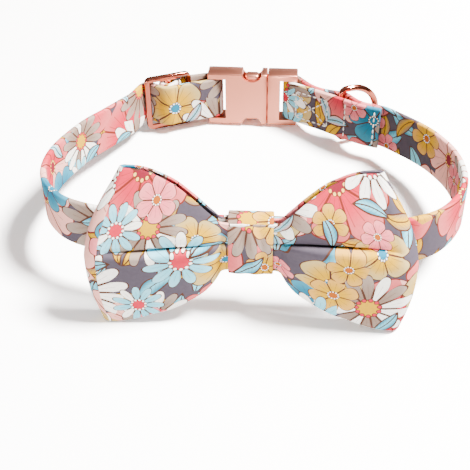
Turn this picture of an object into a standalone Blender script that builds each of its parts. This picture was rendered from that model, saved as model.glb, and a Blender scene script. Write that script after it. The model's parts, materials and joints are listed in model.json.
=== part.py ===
# Pet bow tie collar: a flat cloth-covered strap closed by a metal side-release
# buckle, with a slider, a D-ring and a looped cloth bow held by a knot band.
# Metres, +Z up. Every piece is modelled in the collar's own frame, where the strap
# stands on its edge: +X to the right, +Y to the buckle at the back, Z = 0 at the
# strap's lower edge. Then the whole collar is laid down as it rests on a table,
# on the buckle's lower edge and the bow's two lower corners.
import math

import bmesh
import bpy
from mathutils import Euler, Matrix, Vector

# Sizes that drive the model
LOOP_WIDTH = 0.1666        # across the ring, between the strap's centre lines
LOOP_DEPTH = 0.1230        # from the front to the back of the ring, likewise
STRAP_WIDTH = 0.0200
STRAP_THICKNESS = 0.0024
GAP = 0.0003               # clearance between pieces that touch
EASE = 0.00005             # extra room where the strap leaves the slider
EDGE_ROUND = 0.0004

BUCKLE_LENGTH = 0.0430
BUCKLE_THICKNESS = 0.0094
BUCKLE_RAIL = 0.0029       # metal above and below the strap's window
BUCKLE_WALL = 0.0016
BUCKLE_SEAM = 0.0285       # from the left end to the parting line
BUCKLE_BAR = 0.0040        # diameter of the two end bars
BUCKLE_TURN = math.radians(-4.0)
WINDOW_LENGTH = 0.0085
NOTCH_WIDTH = 0.0095
NOTCH_DEPTH = 0.0040
NOTCH_FROM_SEAM = 0.0073   # seam to the middle of the notch
METAL_ROUND = 0.0006
GUIDE_HEIGHT = 0.0044      # the tongue's middle guide
GUIDE_END_ROOM = 0.0020    # from the guide's tip to the end of the socket's cavity
PRONG_SPREAD = 0.0124      # between the two sprung prongs
PRONG_ROOT = 0.0012        # how far guide and prongs run into the tongue's body
TAB_DROP = 0.0012          # press tabs below the buckle's outline
TAB_SIDE_ROOM = 0.0013     # each side of a press tab in its notch
TAB_OVERLAP = 0.0010       # how far a tab leaves its prong bare
TAB_ROUND = 0.0014

SLIDER_LENGTH = 0.0230
SLIDER_HEIGHT = 0.0272
SLIDER_THICKNESS = 0.0022
SLIDER_BAR = 0.0026
SLIDER_CORNER = 0.0030
SLIDER_TURN = math.radians(23.0)
# The strap's last two points in the slider, past its middle bar
# along: share of the way to the right bar, outward: share of the strap's thickness
SLIDER_TAIL = [(0.37, -0.45), (0.60, -0.08)]

RING_WIRE = 0.0030
RING_OPENING_HEIGHT = 0.0220
RING_OPENING_DEPTH = 0.0150
RING_CORNER = 0.0020
RING_TURN = math.radians(20.0)   # the ring's plane, from +X towards +Y
RING_PLACE = 0.56                # share of the folded end, from the buckle
RING_FADE = 0.0096               # each side of the wire, over which the layers close
BAR_FADE = 0.0076                # likewise from the buckle's bar

BOW_WIDTH = 0.1190
BOW_HEIGHT = 0.0620
BOW_DEPTH = 0.0095         # front panel to back panel at the ends
BOW_CLOTH = 0.0013
BOW_LEAN = math.radians(12.5)    # the upper half, back over the strap
BOW_LOWER_LEAN = math.radians(1.0)
BOW_PINCH = 0.50           # how far the ends close above and below, as a share
BOW_TURN = math.radians(-2.6)
WAIST_DEPTH = 0.0034       # between the two panels in the knot
PLEAT_DEPTH = 0.0050
PLEAT_LIP = 0.0016
PLEAT_REACH = 0.92         # share of half the bow's width

KNOT_WIDTH = 0.0165
KNOT_CLOTH = 0.0014
KNOT_ROUND = 0.0017
KNOT_CROWN = 0.10          # how far the band swells forward, as a share

# Where the hardware sits, as shares of LOOP_WIDTH and LOOP_DEPTH from the ring's middle
BUCKLE_CENTRE = (0.0000, 0.5590)
SLIDER_CENTRE = (-0.2437, 0.5187)
KNOT_CENTRE = (-0.0010, -0.3970)

# The strap's long run from the folded end at the right, past the knot, to the slider
# x: share of LOOP_WIDTH, y: share of LOOP_DEPTH
LONG_RUN = [
    (0.383, 0.264), (0.411, 0.221), (0.438, 0.174), (0.462, 0.121), (0.480, 0.064),
    (0.494, 0.003), (0.500, -0.058), (0.500, -0.112), (0.497, -0.160), (0.489, -0.209),
    (0.471, -0.262), (0.444, -0.315), (0.417, -0.354), (0.386, -0.382), (0.350, -0.402),
    (0.288, -0.415), (0.195, -0.411), (0.095, -0.403), (-0.001, -0.397),
    (-0.105, -0.391), (-0.206, -0.379), (-0.302, -0.357), (-0.362, -0.334),
    (-0.386, -0.321), (-0.413, -0.302), (-0.438, -0.276), (-0.458, -0.245),
    (-0.482, -0.193), (-0.496, -0.136), (-0.500, -0.087), (-0.499, -0.030),
    (-0.490, 0.035), (-0.476, 0.092), (-0.460, 0.145), (-0.437, 0.210),
    (-0.410, 0.263), (-0.382, 0.320), (-0.359, 0.369), (-0.338, 0.414),
]

# The strap's sewn-back end, from the buckle's right bar to its cut edge
FOLD_END = (0.345, 0.287)  # shares of LOOP_WIDTH and LOOP_DEPTH
# along: share of the folded length, side: share of it, outwards
FOLDED_END = [
    (0.119, -0.011), (0.233, -0.013), (0.348, -0.012), (0.453, -0.015), (RING_PLACE, -0.022),
    (0.659, -0.029), (0.778, -0.033), (0.881, -0.024), (1.000, 0.000),
]

# The bow's outline, seen from the front
# along: share of half the bow's width, top and bottom: share of half its height
BOW_OUTLINE = [
    (0.00, 0.330, -0.330), (0.19, 0.340, -0.340), (0.23, 0.420, -0.430),
    (0.29, 0.520, -0.550), (0.37, 0.640, -0.645), (0.47, 0.755, -0.745),
    (0.57, 0.845, -0.825), (0.67, 0.905, -0.875), (0.77, 0.955, -0.935),
    (0.88, 0.990, -0.985), (1.00, 1.000, -1.000),
]
# height: share of half the bow's height, reach: share of half the bow's width
BOW_END = [
    (-1.00, 0.930), (-0.75, 0.965), (-0.50, 0.990), (-0.20, 1.000), (0.00, 0.995),
    (0.30, 0.955), (0.60, 0.880), (0.85, 0.800), (1.00, 0.755),
]
# along: share of half the bow's width, depth: share of BOW_DEPTH, lean: share of BOW_LEAN
BOW_SWELL = [
    (0.00, 0.00, 0.00), (0.19, 0.00, 0.00), (0.25, 0.42, 0.25), (0.36, 0.74, 0.55),
    (0.50, 0.92, 0.80), (0.70, 1.02, 1.00), (0.90, 1.00, 1.00), (1.00, 1.00, 1.00),
]

# Colours
SLATE = (0.23, 0.20, 0.23, 1.0)
BLUSH = (0.80, 0.55, 0.52, 1.0)
CREAM = (0.85, 0.78, 0.70, 1.0)
ROSE_GOLD = (0.86, 0.55, 0.46, 1.0)

half_width = STRAP_WIDTH / 2
strap_step = STRAP_THICKNESS + GAP


def clear_scene():
    for thing in list(bpy.data.objects):
        bpy.data.objects.remove(thing, do_unlink=True)


def new_collection(name):
    group = bpy.data.collections.new(name)
    bpy.context.scene.collection.children.link(group)
    return group


def new_material(name, colour, roughness, metallic):
    material = bpy.data.materials.new(name)
    material.use_nodes = True
    shader = material.node_tree.nodes["Principled BSDF"]
    shader.inputs["Base Color"].default_value = colour
    shader.inputs["Roughness"].default_value = roughness
    shader.inputs["Metallic"].default_value = metallic
    return material


clear_scene()
parts = new_collection("pet_bow_tie_collar")
cutters = new_collection("cutters")
rose_gold_metal = new_material("rose_gold_metal", ROSE_GOLD, 0.28, 1.0)
strap_cloth = new_material("strap_cloth", SLATE, 0.85, 0.0)
bow_cloth = new_material("bow_cloth", BLUSH, 0.85, 0.0)
knot_cloth = new_material("knot_cloth", CREAM, 0.85, 0.0)

# Everything hangs on this empty, which lays the finished collar down
collar_frame = bpy.data.objects.new("collar_frame", None)
bpy.context.scene.collection.objects.link(collar_frame)


def add_part(name, mesh, material):
    thing = bpy.data.objects.new(name, mesh)
    parts.objects.link(thing)
    mesh.materials.clear()
    mesh.materials.append(material)
    thing.parent = collar_frame
    return thing


def add_cutter(name, mesh):
    thing = bpy.data.objects.new(name, mesh)
    cutters.objects.link(thing)
    thing.parent = collar_frame
    thing.display_type = "WIRE"
    thing.hide_render = True
    return thing


def mesh_of(name, shape):
    mesh = bpy.data.meshes.new(name)
    bmesh.ops.recalc_face_normals(shape, faces=shape.faces)
    shape.to_mesh(mesh)
    shape.free()
    return mesh


def box_mesh(name, low, high):
    shape = bmesh.new()
    middle = (Vector(low) + Vector(high)) / 2
    size = Vector(high) - Vector(low)
    bmesh.ops.create_cube(shape, size=1.0)
    for vert in shape.verts:
        vert.co = Vector(a * b for a, b in zip(vert.co, size)) + middle
    return mesh_of(name, shape)


def rod_mesh(name, centre, radius, length, sides=20):
    """An upright rod through centre."""
    shape = bmesh.new()
    bmesh.ops.create_cone(shape, cap_ends=True, segments=sides, radius1=radius,
                          radius2=radius, depth=length,
                          matrix=Matrix.Translation(centre))
    return mesh_of(name, shape)


def bevel(thing, width, segments=2, angle=50.0):
    step = thing.modifiers.new("round edges", "BEVEL")
    step.width = width
    step.segments = segments
    step.limit_method = "ANGLE"
    step.angle_limit = math.radians(angle)
    step.use_clamp_overlap = True


def cut(thing, tool, operation="DIFFERENCE"):
    step = thing.modifiers.new(operation.lower(), "BOOLEAN")
    step.object = tool
    step.operation = operation
    step.solver = "EXACT"


def from_table(table, key, column):
    """Reads one column of a table at key, smoothly between its rows."""
    rows = table
    if key <= rows[0][0]:
        return rows[0][column]
    for (low, high) in zip(rows, rows[1:]):
        if key <= high[0]:
            share = (key - low[0]) / (high[0] - low[0])
            share = share * share * (3 - 2 * share) * 0.35 + share * 0.65
            return low[column] + (high[column] - low[column]) * share
    return rows[-1][column]


def turned(angle, radius):
    return Vector((math.cos(angle), math.sin(angle))) * radius


class Place:
    """A point in plan with its own along and outward directions."""

    def __init__(self, centre, turn):
        self.centre = Vector(centre)
        self.along = turned(turn, 1.0)
        self.outward = turned(turn + math.pi / 2, 1.0)

    def point(self, along, outward):
        return self.centre + self.along * along + self.outward * outward

    def around(self, along, angle_degrees, radius):
        """A point on a circle about the middle of an upright bar."""
        angle = math.radians(angle_degrees)
        return self.point(along + math.cos(angle) * radius, math.sin(angle) * radius)


def in_loop(share):
    return Vector((share[0] * LOOP_WIDTH, share[1] * LOOP_DEPTH))


buckle = Place(in_loop(BUCKLE_CENTRE), BUCKLE_TURN)
slider = Place(in_loop(SLIDER_CENTRE), SLIDER_TURN)
knot = Place(in_loop(KNOT_CENTRE), BOW_TURN)

# Strap: its route in plan, wound round the bars that hold it
buckle_bar_place = BUCKLE_LENGTH / 2 - BUCKLE_BAR / 2 - GAP
buckle_wrap = BUCKLE_BAR / 2 + GAP + STRAP_THICKNESS / 2
slider_bar_place = (SLIDER_LENGTH - SLIDER_BAR) / 2
slider_bar_reach = math.hypot(SLIDER_BAR, SLIDER_THICKNESS) / 2 - METAL_ROUND * 0.4
slider_wrap = slider_bar_reach + GAP + STRAP_THICKNESS / 2
ring_spread = RING_WIRE + 2 * GAP + STRAP_THICKNESS


def folded_point(along, side):
    """A point of the sewn-back end, between the buckle's bar and its cut edge."""
    start = buckle.around(buckle_bar_place, 240, buckle_wrap)
    line = in_loop(FOLD_END) - start
    across = Vector((-line.y, line.x))
    if across.dot(buckle.outward) < 0:
        across.negate()
    return start + line * along + across * side


def layer_spacing(along):
    """Centre line to centre line of the two layers of the sewn-back end."""
    length = (in_loop(FOLD_END) - folded_point(0, 0)).length
    travel = along * length
    opening = 2 * buckle_wrap - strap_step
    at_bar = opening * math.exp(-((travel / BAR_FADE) ** 2))
    off_ring = abs(travel - RING_PLACE * length)
    at_ring = 0.0
    if off_ring < RING_FADE:
        at_ring = (ring_spread - strap_step) * math.cos(off_ring / RING_FADE * math.pi / 2) ** 2
    return strap_step + at_bar + at_ring


def smooth_route(points, step=0.00025):
    """A smooth line through the points (centripetal Catmull-Rom), densely sampled."""
    ends = [points[0] * 2 - points[1]] + points + [points[-1] * 2 - points[-2]]
    line = []
    for before, start, stop, after in zip(ends, ends[1:], ends[2:], ends[3:]):
        t0 = 0.0
        t1 = t0 + (start - before).length ** 0.5
        t2 = t1 + (stop - start).length ** 0.5
        t3 = t2 + (after - stop).length ** 0.5
        count = max(2, int((stop - start).length / step))
        for i in range(count):
            t = t1 + (t2 - t1) * i / count
            a1 = before * ((t1 - t) / (t1 - t0)) + start * ((t - t0) / (t1 - t0))
            a2 = start * ((t2 - t) / (t2 - t1)) + stop * ((t - t1) / (t2 - t1))
            a3 = stop * ((t3 - t) / (t3 - t2)) + after * ((t - t2) / (t3 - t2))
            b1 = a1 * ((t2 - t) / (t2 - t0)) + a2 * ((t - t0) / (t2 - t0))
            b2 = a2 * ((t3 - t) / (t3 - t1)) + a3 * ((t - t1) / (t3 - t1))
            line.append(b1 * ((t2 - t) / (t2 - t1)) + b2 * ((t - t1) / (t2 - t1)))
    line.append(points[-1])
    return line


def thin_out(line, most_turn=math.radians(9.0), longest=0.0065):
    """Keeps a point where the line has turned or run far enough."""
    kept = [line[0]]
    heading = line[1] - line[0]
    for here, there in zip(line[1:], line[2:]):
        now = there - here
        if now.length < 1e-9:
            continue
        far = (here - kept[-1]).length
        if far > 0.0006 and (heading.angle(now) > most_turn or far > longest):
            kept.append(here)
            heading = now
    kept.append(line[-1])
    return kept


def strap_route():
    inner = [folded_point(along, side) for along, side in reversed(FOLDED_END)]
    outer = []
    for along, side in FOLDED_END:
        nearby = folded_point(along - 0.02, side)
        ahead = folded_point(along + 0.02, side) - nearby
        across = Vector((-ahead.y, ahead.x)).normalized()
        outer.append(folded_point(along, side) + across * layer_spacing(along))
    bar = buckle_bar_place
    right_wrap = [buckle.around(bar, angle, buckle_wrap) for angle in range(240, 50, -36)]
    left_wrap = [buckle.around(-bar, angle, buckle_wrap) for angle in range(-64, 120, 34)]
    edge_bar = -slider_bar_place
    over = slider_wrap + strap_step
    into_slider = [slider.around(edge_bar, angle, slider_wrap) for angle in (138, 95, 52)]
    past_middle = [slider.around(0, angle, over) for angle in (192, 230, 268, 292)]
    right_edge = slider_bar_place
    outside = SLIDER_THICKNESS / 2 + GAP + STRAP_THICKNESS / 2
    back_to_slider = [slider.point(right_edge, outside + EASE)]
    middle_wrap = [slider.around(0, angle, slider_wrap) for angle in (90, 135, 180, 225, 270, 305)]
    tail = [slider.point(slider_bar_place * along, STRAP_THICKNESS * outward)
            for along, outward in SLIDER_TAIL]
    run = [in_loop(share) for share in LONG_RUN]
    points = inner + right_wrap + outer + run + into_slider + past_middle
    points += left_wrap + back_to_slider + middle_wrap + tail
    return thin_out(smooth_route(points))


def ribbon(name, route, low, high, thickness, material):
    """An upright strip of cloth along a route in plan."""
    shape = bmesh.new()
    foot = [shape.verts.new((point.x, point.y, low)) for point in route]
    edges = [shape.edges.new(pair) for pair in zip(foot, foot[1:])]
    raised = bmesh.ops.extrude_edge_only(shape, edges=edges)["geom"]
    for item in raised:
        if isinstance(item, bmesh.types.BMVert):
            item.co.z = high
    strip = add_part(name, mesh_of(name, shape), material)
    wall = strip.modifiers.new("thickness", "SOLIDIFY")
    wall.thickness = thickness
    wall.offset = 0.0
    wall.use_even_offset = True
    bevel(strip, EDGE_ROUND, segments=1)
    return strip


strap = ribbon("strap", strap_route(), 0.0, STRAP_WIDTH, STRAP_THICKNESS, strap_cloth)

# Buckle: two halves that share one outline, modelled from the left end
buckle_height = STRAP_WIDTH + 2 * GAP + 2 * BUCKLE_RAIL
buckle_frame = bpy.data.objects.new("buckle_frame", None)
bpy.context.scene.collection.objects.link(buckle_frame)
buckle_frame.parent = collar_frame
buckle_frame.location = (buckle.centre.x, buckle.centre.y, half_width)
buckle_frame.rotation_euler = Euler((0, 0, BUCKLE_TURN))

left_end = -BUCKLE_LENGTH / 2
right_end = BUCKLE_LENGTH / 2
seam = left_end + BUCKLE_SEAM
front = -BUCKLE_THICKNESS / 2
top = buckle_height / 2
window_top = top - BUCKLE_RAIL
notch_middle = seam - NOTCH_FROM_SEAM
cavity_start = left_end + WINDOW_LENGTH + BUCKLE_WALL
cavity_front = front + BUCKLE_WALL
cavity_top = top - BUCKLE_WALL
slack = 0.002              # how far a cutter runs past what it cuts


def buckle_piece(name, low, high):
    piece = add_part(name, box_mesh(name, low, high), rose_gold_metal)
    piece.parent = buckle_frame
    return piece


def buckle_cutter(name, low, high):
    tool = add_cutter(name, box_mesh(name, low, high))
    tool.parent = buckle_frame
    return tool


def end_bar(name, along):
    tool = add_cutter(name, rod_mesh(name, (along, 0, 0), BUCKLE_BAR / 2, 2 * window_top + BUCKLE_RAIL))
    tool.parent = buckle_frame
    return tool


def notch_cutter(name, side, grow=0.0):
    """A U-shaped notch from the top or bottom edge, right through the plate."""
    width = NOTCH_WIDTH - 2 * grow
    depth = NOTCH_DEPTH - grow
    shape = bmesh.new()
    spin = Matrix.Rotation(math.pi / 2, 4, "X")
    bmesh.ops.create_cone(shape, cap_ends=True, segments=32, radius1=width / 2,
                          radius2=width / 2, depth=BUCKLE_THICKNESS + 2 * slack, matrix=spin)
    for vert in shape.verts:
        if vert.co.z > 0:
            vert.co.z = slack + vert.co.z * 0.001
        else:
            vert.co.z *= depth / (width / 2)
        vert.co.z = side * (top + vert.co.z)
        vert.co.x += notch_middle
    tool = add_cutter(name, mesh_of(name, shape))
    tool.parent = buckle_frame
    return tool


socket = buckle_piece("buckle_socket", (left_end, front, -top), (seam, -front, top))
bevel(socket, METAL_ROUND, segments=2)
cut(socket, buckle_cutter("socket_window", (left_end - slack, front - slack, -window_top),
                          (left_end + WINDOW_LENGTH, -front + slack, window_top)))
cut(socket, buckle_cutter("socket_cavity", (cavity_start, cavity_front, -cavity_top),
                          (seam + slack, -cavity_front, cavity_top)))
cut(socket, notch_cutter("notch_top", 1))
cut(socket, notch_cutter("notch_bottom", -1))
cut(socket, end_bar("socket_end_bar", -buckle_bar_place), "UNION")

# The tongue's body, with a middle guide and two sprung prongs inside the socket
tongue_start = seam + GAP
tongue = buckle_piece("buckle_tongue", (tongue_start, front, -top), (right_end, -front, top))
bevel(tongue, METAL_ROUND, segments=2)
cut(tongue, buckle_cutter("tongue_window", (right_end - WINDOW_LENGTH, front - slack, -window_top),
                          (right_end + slack, -front + slack, window_top)))
cut(tongue, end_bar("tongue_end_bar", buckle_bar_place), "UNION")
prong_front = cavity_front + GAP
prong_tip = notch_middle - NOTCH_WIDTH / 2 + GAP
tab_half = NOTCH_WIDTH / 2 - TAB_SIDE_ROOM
root = tongue_start + PRONG_ROOT
cut(tongue, buckle_cutter("middle_guide", (cavity_start + GUIDE_END_ROOM, prong_front, -GUIDE_HEIGHT / 2),
                          (root, -prong_front, GUIDE_HEIGHT / 2)), "UNION")
for side, label in ((1, "top"), (-1, "bottom")):
    low_z, high_z = sorted((side * PRONG_SPREAD / 2, side * (top - NOTCH_DEPTH - GAP)))
    cut(tongue, buckle_cutter("prong_" + label, (prong_tip, prong_front, low_z),
                              (root, -prong_front, high_z)), "UNION")
    low_z, high_z = sorted((side * (PRONG_SPREAD / 2 + TAB_OVERLAP), side * (top - TAB_DROP)))
    tab = buckle_cutter("tab_" + label, (notch_middle - tab_half, prong_front, low_z),
                        (notch_middle + tab_half, -prong_front, high_z))
    bevel(tab, TAB_ROUND, segments=3)
    cut(tongue, tab, "UNION")

# Slider: a rounded frame with a middle bar, standing across the strap
slider_frame = add_part("slider", box_mesh(
    "slider", (-SLIDER_LENGTH / 2, -SLIDER_THICKNESS / 2, -SLIDER_HEIGHT / 2),
    (SLIDER_LENGTH / 2, SLIDER_THICKNESS / 2, SLIDER_HEIGHT / 2)), rose_gold_metal)
slider_frame.location = (slider.centre.x, slider.centre.y, half_width)
slider_frame.rotation_euler = Euler((0, 0, SLIDER_TURN))


def round_frame_corners():
    shape = bmesh.new()
    shape.from_mesh(slider_frame.data)
    corners = []
    for edge in shape.edges:
        run = edge.verts[1].co - edge.verts[0].co
        if abs(run.y) > SLIDER_THICKNESS / 2:
            corners.append(edge)
    bmesh.ops.bevel(shape, geom=corners, offset=SLIDER_CORNER, segments=5,
                    profile=0.5, affect="EDGES")
    shape.to_mesh(slider_frame.data)
    shape.free()


round_frame_corners()
slot_low = -SLIDER_HEIGHT / 2 + SLIDER_BAR
for side, label in ((-1, "left"), (1, "right")):
    near = SLIDER_BAR / 2
    far = SLIDER_LENGTH / 2 - SLIDER_BAR
    low_x, high_x = sorted((side * near, side * far))
    slot = add_cutter("slot_" + label, box_mesh(
        "slot_" + label, (low_x, -SLIDER_THICKNESS, slot_low), (high_x, SLIDER_THICKNESS, -slot_low)))
    slot.location = slider_frame.location
    slot.rotation_euler = slider_frame.rotation_euler
    cut(slider_frame, slot)
bevel(slider_frame, METAL_ROUND, segments=2, angle=40.0)

# D-ring: bent round wire, its straight bar between the strap's two layers
ring_half = (RING_OPENING_HEIGHT + RING_WIRE) / 2
ring_reach = RING_OPENING_DEPTH + RING_WIRE
leg = ring_reach - ring_half


def ring_wire_points():
    points = []
    for side in (-1, 1):
        centre = (RING_CORNER, side * (ring_half - RING_CORNER))
        for i in range(4):
            angle = math.pi / 2 * i / 3
            if side < 0:
                angle = math.pi / 2 - angle
            points.append((centre[0] - RING_CORNER * math.cos(angle),
                           centre[1] + side * RING_CORNER * math.sin(angle)))
    arc_steps = 18
    for i in range(arc_steps + 1):
        angle = math.pi / 2 - math.pi * i / arc_steps
        points.append((leg + ring_half * math.cos(angle), ring_half * math.sin(angle)))
    return points


def ring_centre():
    side = from_table(FOLDED_END, RING_PLACE, 1)
    here = folded_point(RING_PLACE, side)
    ahead = folded_point(RING_PLACE + 0.02, side) - folded_point(RING_PLACE - 0.02, side)
    across = Vector((-ahead.y, ahead.x)).normalized()
    return here + across * (STRAP_THICKNESS / 2 + GAP + RING_WIRE / 2)


def bent_wire(name, points, radius, material):
    wire = bpy.data.curves.new(name, "CURVE")
    wire.dimensions = "3D"
    wire.bevel_depth = radius
    wire.bevel_resolution = 3
    spline = wire.splines.new("POLY")
    spline.points.add(len(points) - 1)
    for spot, (reach, height) in zip(spline.points, points):
        spot.co = (reach, 0.0, height, 1.0)
    spline.use_cyclic_u = True
    thing = bpy.data.objects.new(name, wire)
    parts.objects.link(thing)
    wire.materials.append(material)
    thing.parent = collar_frame
    return thing


d_ring = bent_wire("d_ring", ring_wire_points(), RING_WIRE / 2, rose_gold_metal)
ring_spot = ring_centre()
d_ring.location = (ring_spot.x, ring_spot.y, half_width)
d_ring.rotation_euler = Euler((0, 0, RING_TURN))

# Bow: one loop of cloth, front panel, rounded ends and back panel, gathered in the knot
FRONT_STEPS = 30
END_STEPS = 6
ROWS = 12
half_bow = BOW_WIDTH / 2
half_rise = BOW_HEIGHT / 2
waist_back = -(STRAP_THICKNESS / 2 + GAP + BOW_CLOTH / 2)
# A leaning wing clears the strap's upper edge
wing_back = waist_back - half_width * math.tan(BOW_LEAN) - GAP


def bow_row(index):
    """Height shares of the rows, closer together at the pleat."""
    share = 2 * index / ROWS - 1
    return math.copysign(abs(share) ** 1.25, share)


def bow_point(turn, rise):
    """turn: 0..1 round the loop from the left end over the front; rise: -1..1."""
    count = 2 * (FRONT_STEPS + END_STEPS)
    spot = turn * count
    if spot < FRONT_STEPS:
        panel, along = "front", -1 + 2 * spot / FRONT_STEPS
    elif spot < FRONT_STEPS + END_STEPS:
        panel, along = "end", 1.0
        bend = (spot - FRONT_STEPS) / END_STEPS * math.pi
    elif spot < 2 * FRONT_STEPS + END_STEPS:
        panel, along = "back", 1 - 2 * (spot - FRONT_STEPS - END_STEPS) / FRONT_STEPS
    else:
        panel, along = "end", -1.0
        bend = math.pi - (spot - 2 * FRONT_STEPS - END_STEPS) / END_STEPS * math.pi
    out = abs(along)
    swell = from_table(BOW_SWELL, out, 1)
    edge = from_table(BOW_OUTLINE, out, 1 if rise > 0 else 2)
    height = abs(edge) * half_rise * rise
    mouth = 1.0 - BOW_PINCH * rise ** 2
    depth = WAIST_DEPTH + (BOW_DEPTH * mouth - WAIST_DEPTH) * swell
    settle = from_table(BOW_SWELL, out, 2)
    lean = settle * (BOW_LEAN if rise > 0 else BOW_LOWER_LEAN)
    back = waist_back + (wing_back - waist_back) * settle
    back -= (BOW_DEPTH - BOW_DEPTH * mouth) * 0.5 * swell
    reach = from_table(BOW_END, height / half_rise, 1) * half_bow - BOW_DEPTH * mouth / 2
    x = along * reach
    if panel == "front":
        y = back - depth
        fade = max(0.0, 1.0 - out / PLEAT_REACH)
        lip = math.exp(-((rise - 0.16) / 0.13) ** 2)
        valley = math.exp(-((rise + 0.035) / 0.085) ** 2)
        y += fade * swell * (PLEAT_DEPTH * valley - PLEAT_LIP * lip)
    elif panel == "back":
        y = back
    else:
        y = back - depth / 2 - math.cos(bend) * depth / 2
        x += math.copysign(math.sin(bend) * depth / 2, along)
    y += height * math.tan(lean)
    return Vector((x, y, height))


def loop_of_cloth(name, columns, rows, shape_point, thickness, material):
    """A strip of cloth joined into a loop: a grid wrapped by shape_point."""
    shape = bmesh.new()
    bmesh.ops.create_grid(shape, x_segments=columns, y_segments=rows, size=1.0)
    for vert in shape.verts:
        turn = round((vert.co.x + 1) / 2 * columns)
        row = round((vert.co.y + 1) / 2 * rows)
        vert.co = shape_point(turn % columns, row)
    bmesh.ops.remove_doubles(shape, verts=shape.verts, dist=0.00002)
    piece = add_part(name, mesh_of(name, shape), material)
    wall = piece.modifiers.new("thickness", "SOLIDIFY")
    wall.thickness = thickness
    wall.offset = 0.0
    wall.use_even_offset = True
    return piece


bow_columns = 2 * (FRONT_STEPS + END_STEPS)
bow = loop_of_cloth("bow", bow_columns, ROWS,
                    lambda turn, row: bow_point(turn / bow_columns, bow_row(row)),
                    BOW_CLOTH, bow_cloth)
bow.location = (knot.centre.x, knot.centre.y, half_width)
bow.rotation_euler = Euler((0, 0, BOW_TURN))

# Knot band: a sleeve of cloth round the bow's waist and the strap
KNOT_ARC = 7               # points on each rounded corner
KNOT_COLUMNS = 4 * (KNOT_ARC + 1)
KNOT_ROWS = 4
waist_half = from_table(BOW_OUTLINE, KNOT_WIDTH / BOW_WIDTH, 1) * half_rise
knot_room = GAP + KNOT_ROUND * 0.15
knot_half_height = max(half_width, waist_half) + knot_room + KNOT_CLOTH / 2
knot_back = STRAP_THICKNESS / 2 + GAP + KNOT_CLOTH / 2
knot_front = waist_back - WAIST_DEPTH - BOW_CLOTH / 2 - knot_room - KNOT_CLOTH / 2


def knot_point(turn, row):
    """A rounded rectangle in depth and height, slightly crowned across the band."""
    corner, step = divmod(turn, KNOT_ARC + 1)
    half_depth = (knot_back - knot_front) / 2
    flat_y = half_depth - KNOT_ROUND
    flat_z = knot_half_height - KNOT_ROUND
    sign_y, sign_z = ((1, 1), (-1, 1), (-1, -1), (1, -1))[corner]
    middle = ((0, 1), (-1, 0), (0, -1), (1, 0))[corner]
    if step == KNOT_ARC:
        y = middle[0] * half_depth
        z = middle[1] * knot_half_height
    else:
        angle = math.pi / 2 * (corner + step / (KNOT_ARC - 1))
        y = sign_y * flat_y + KNOT_ROUND * math.cos(angle)
        z = sign_z * flat_z + KNOT_ROUND * math.sin(angle)
    share = 2 * row / KNOT_ROWS - 1
    if y < 0:
        y *= 1 + KNOT_CROWN * (1 - share ** 2)
    return Vector((share * KNOT_WIDTH / 2, (knot_back + knot_front) / 2 + y, z))


knot_band = loop_of_cloth("knot_band", KNOT_COLUMNS, KNOT_ROWS, knot_point, KNOT_CLOTH, knot_cloth)
knot_band.location = bow.location
knot_band.rotation_euler = bow.rotation_euler


def corner_points(thing):
    bpy.context.view_layer.update()
    depsgraph = bpy.context.evaluated_depsgraph_get()
    shown = thing.evaluated_get(depsgraph)
    points = [shown.matrix_world @ vert.co for vert in shown.to_mesh().vertices]
    shown.to_mesh_clear()
    return points


def lowest(points, tilt):
    return min(point.z * math.cos(tilt) - point.y * math.sin(tilt) for point in points)


def lay_down():
    """Tilts the collar until the buckle and the bow both touch the table."""
    at_back = corner_points(socket) + corner_points(tongue)
    at_front = corner_points(bow)
    low, high = 0.0, math.radians(25.0)
    for _ in range(40):
        tilt = (low + high) / 2
        if lowest(at_front, tilt) < lowest(at_back, tilt):
            low = tilt
        else:
            high = tilt
    collar_frame.rotation_euler = Euler((-tilt, 0, 0))
    every = [point for thing in parts.objects for point in corner_points(thing)]
    ends = [(min(p[i] for p in every), max(p[i] for p in every)) for i in range(3)]
    collar_frame.location = (-sum(ends[0]) / 2, -sum(ends[1]) / 2, -ends[2][0])
    bpy.context.view_layer.update()


lay_down()
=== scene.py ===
# Looks of a pet bow tie collar: printed cotton over webbing, a looped bow and its knot,
# rose-gold fittings and white stitching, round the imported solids.
import json
import math

import bmesh
import bpy
from mathutils import Matrix, Vector


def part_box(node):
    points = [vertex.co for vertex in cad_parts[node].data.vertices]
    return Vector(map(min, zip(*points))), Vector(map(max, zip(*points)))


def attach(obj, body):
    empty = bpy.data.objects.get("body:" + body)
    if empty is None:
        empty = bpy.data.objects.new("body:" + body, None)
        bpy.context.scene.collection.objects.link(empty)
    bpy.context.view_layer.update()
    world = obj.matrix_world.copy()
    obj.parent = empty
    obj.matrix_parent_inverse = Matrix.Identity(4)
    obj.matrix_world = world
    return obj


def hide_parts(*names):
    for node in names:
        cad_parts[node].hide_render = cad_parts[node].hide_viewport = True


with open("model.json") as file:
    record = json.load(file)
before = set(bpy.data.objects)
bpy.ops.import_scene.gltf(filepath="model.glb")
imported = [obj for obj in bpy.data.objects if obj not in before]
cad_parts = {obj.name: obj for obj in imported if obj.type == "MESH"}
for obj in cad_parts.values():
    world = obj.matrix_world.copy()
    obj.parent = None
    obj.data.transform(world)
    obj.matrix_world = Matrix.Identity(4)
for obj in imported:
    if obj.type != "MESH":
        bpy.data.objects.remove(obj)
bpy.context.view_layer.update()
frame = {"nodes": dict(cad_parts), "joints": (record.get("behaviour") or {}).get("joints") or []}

# Strap: cotton printed with flowers, folded round webbing and pressed flat. It is one
# piece, sewn back on itself round the buckle's right bar, led round the neck, threaded
# through the slider and the buckle's left bar, and sewn to the slider's middle bar.
strap_width = 0.0200
strap_thickness = 0.0024
strap_edge = 0.00095
strap_step = 0.0010
strap_ripple = 0.00007
clearance = 0.0003
merge_distance = 0.00001
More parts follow.
